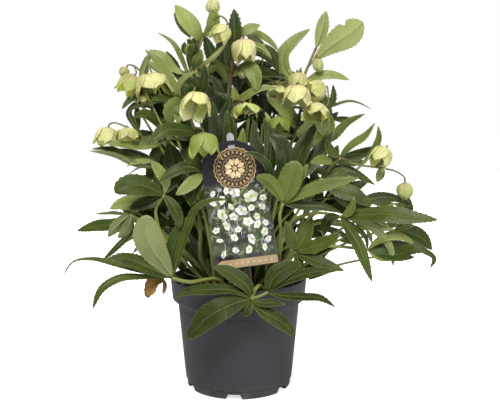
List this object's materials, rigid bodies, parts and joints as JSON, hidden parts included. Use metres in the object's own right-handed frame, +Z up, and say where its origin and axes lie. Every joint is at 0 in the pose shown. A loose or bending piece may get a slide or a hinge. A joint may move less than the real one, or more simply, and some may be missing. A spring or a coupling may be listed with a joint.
{
  "type": "potted hellebore",
  "caption": "Flowering hellebore in a tapered nursery pot, with pedate leaves, nodding bell flowers, bracts, soil and a plain ornamental plant label on a stake.",
  "frame": {"origin": "centre of the pot's flat base pad, on the surface it stands on", "axes": "+Z up the plant, -Y towards the side that the label faces, +X to the right seen from there"},
  "size_m": [0.4496, 0.3198, 0.4715],
  "materials": {
    "pot": "dark blue-grey moulded plastic, satin",
    "soil": "moist dark peat with pale bits",
    "label_stake": "grey translucent strip",
    "label_card": null,
    "leaf": "leathery dark green leaf, paler underneath",
    "bract": "lighter olive green stems and bracts",
    "petal": "cream green petals with a faint blush",
    "withered": "dry brown leaf"
  },
  "bodies": {
    "root": {"pot": "pot", "soil": "soil", "label_stake": "label_stake", "label_card": "label_card", "leaf_front": "leaf", "leaf_low_right": "leaf", "leaf_far_right": "leaf", "leaf_right": "leaf", "leaf_small_right": "leaf", "leaf_label_right": "leaf", "leaf_upper_right": "leaf", "leaf_low_left": "leaf", "withered_leaf": "withered", "leaf_mid_left": "leaf", "leaf_far_left": "leaf", "leaf_upper_left": "leaf", "leaf_label_left": "leaf", "leaf_centre_right": "leaf", "leaf_centre_left": "leaf", "stem_left": "bract", "stem_left_centre": "bract", "stem_centre": "bract", "stem_right": "bract", "stem_far_right": "bract", "leaf_back_left_low": "leaf", "leaf_back_low": "leaf", "leaf_back_right_low": "leaf", "leaf_back_left": "leaf", "leaf_back_centre": "leaf", "leaf_back_right": "leaf", "leaf_back_upper_left": "leaf", "leaf_back_upper_right": "leaf", "stem_back": "bract", "bract_toothed": "bract", "bract_right_broad": "bract", "flower_left_outer": "petal", "flower_left_large": "petal", "flower_left_small": "petal", "bud_left": "petal", "flower_far_left": "petal", "flower_far_left_inner": "petal", "flower_centre_left": "petal", "flower_label_top": "petal", "bud_top": "petal", "flower_top": "petal", "bud_centre": "petal", "bud_small_left": "petal", "flower_middle": "petal", "flower_right_top": "petal", "flower_right_middle": "petal", "flower_right_side": "petal", "flower_right_lower": "petal", "bud_right_top": "petal", "bud_middle_right": "petal", "flower_middle_right": "petal", "flower_far_right": "petal", "bud_far_right": "petal", "flower_back_right": "petal", "flower_back_left": "petal"}
  },
  "joints": []
}
